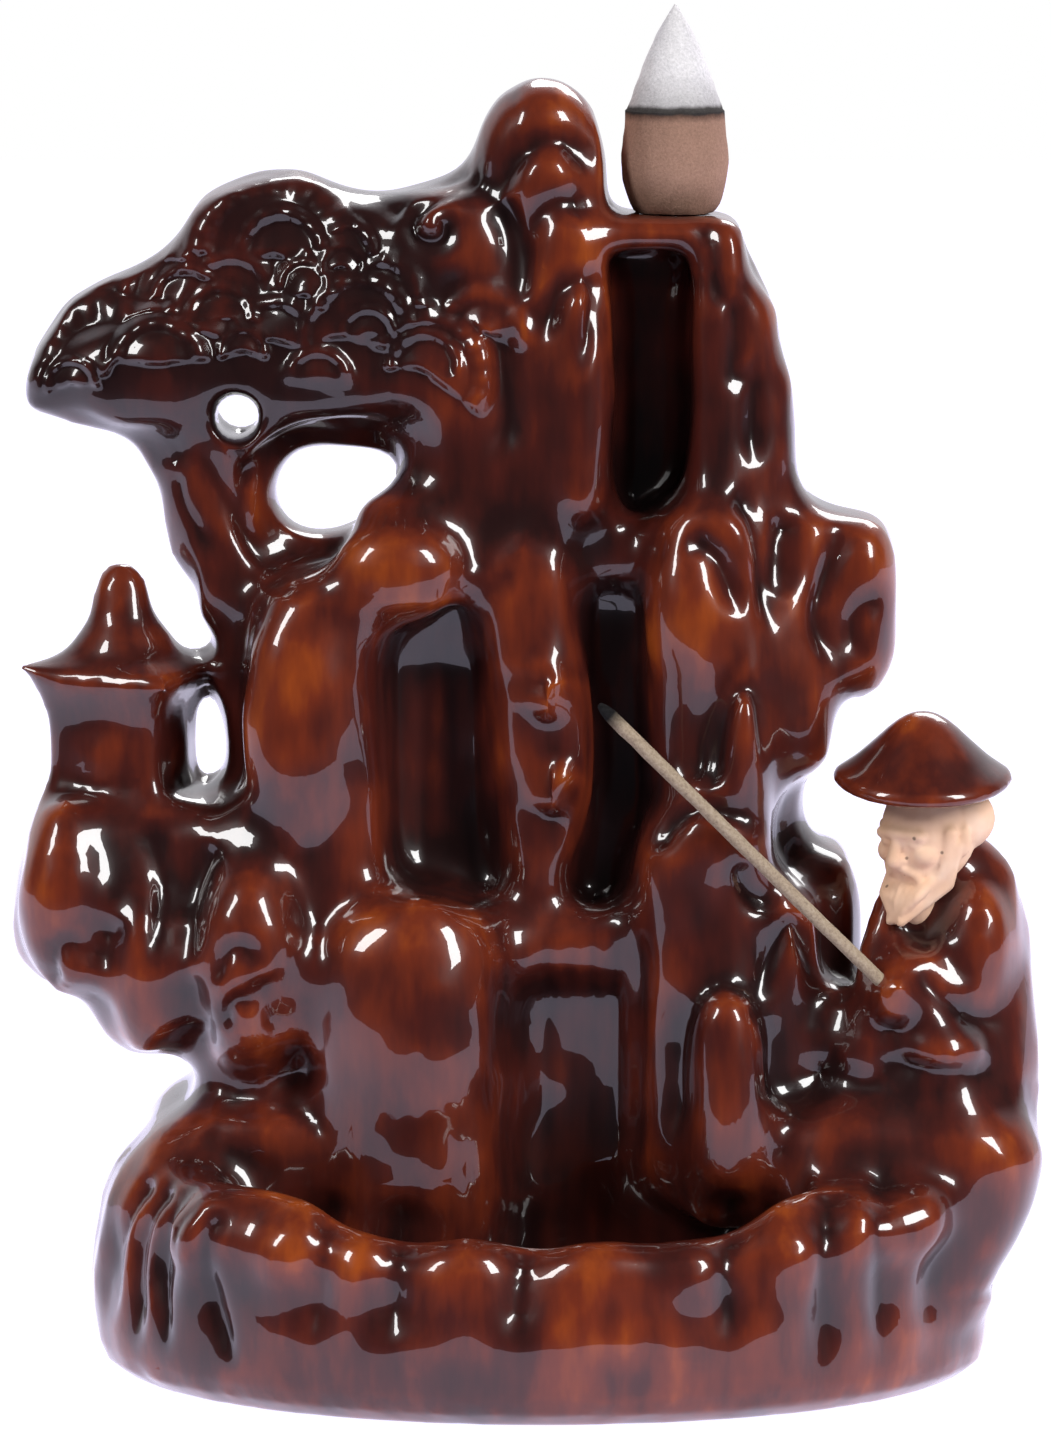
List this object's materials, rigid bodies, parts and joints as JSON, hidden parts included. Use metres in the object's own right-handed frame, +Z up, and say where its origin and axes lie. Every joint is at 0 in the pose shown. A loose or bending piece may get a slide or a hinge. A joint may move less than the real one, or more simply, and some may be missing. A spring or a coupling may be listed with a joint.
{
  "type": "backflow incense burner",
  "caption": "Glazed mountain burner: smoke from a cone falls through a niche and terraces to a basin, with pine, pavilion and fisherman.",
  "frame": {"origin": "middle of the unglazed foot, on the surface that the burner stands on", "axes": "+Z up; -Y towards the viewer, where the smoke falls; +X towards the fisherman"},
  "size_m": [0.1453, 0.0895, 0.1916],
  "materials": {
    "glaze": "glossy red-brown running glaze",
    "cone": "pressed incense powder, half burnt to ash",
    "stick": "pressed incense powder, tip charred"
  },
  "bodies": {
    "root": {"burner_body": "glaze", "incense_cone": "cone", "incense_stick": "stick"}
  },
  "joints": []
}
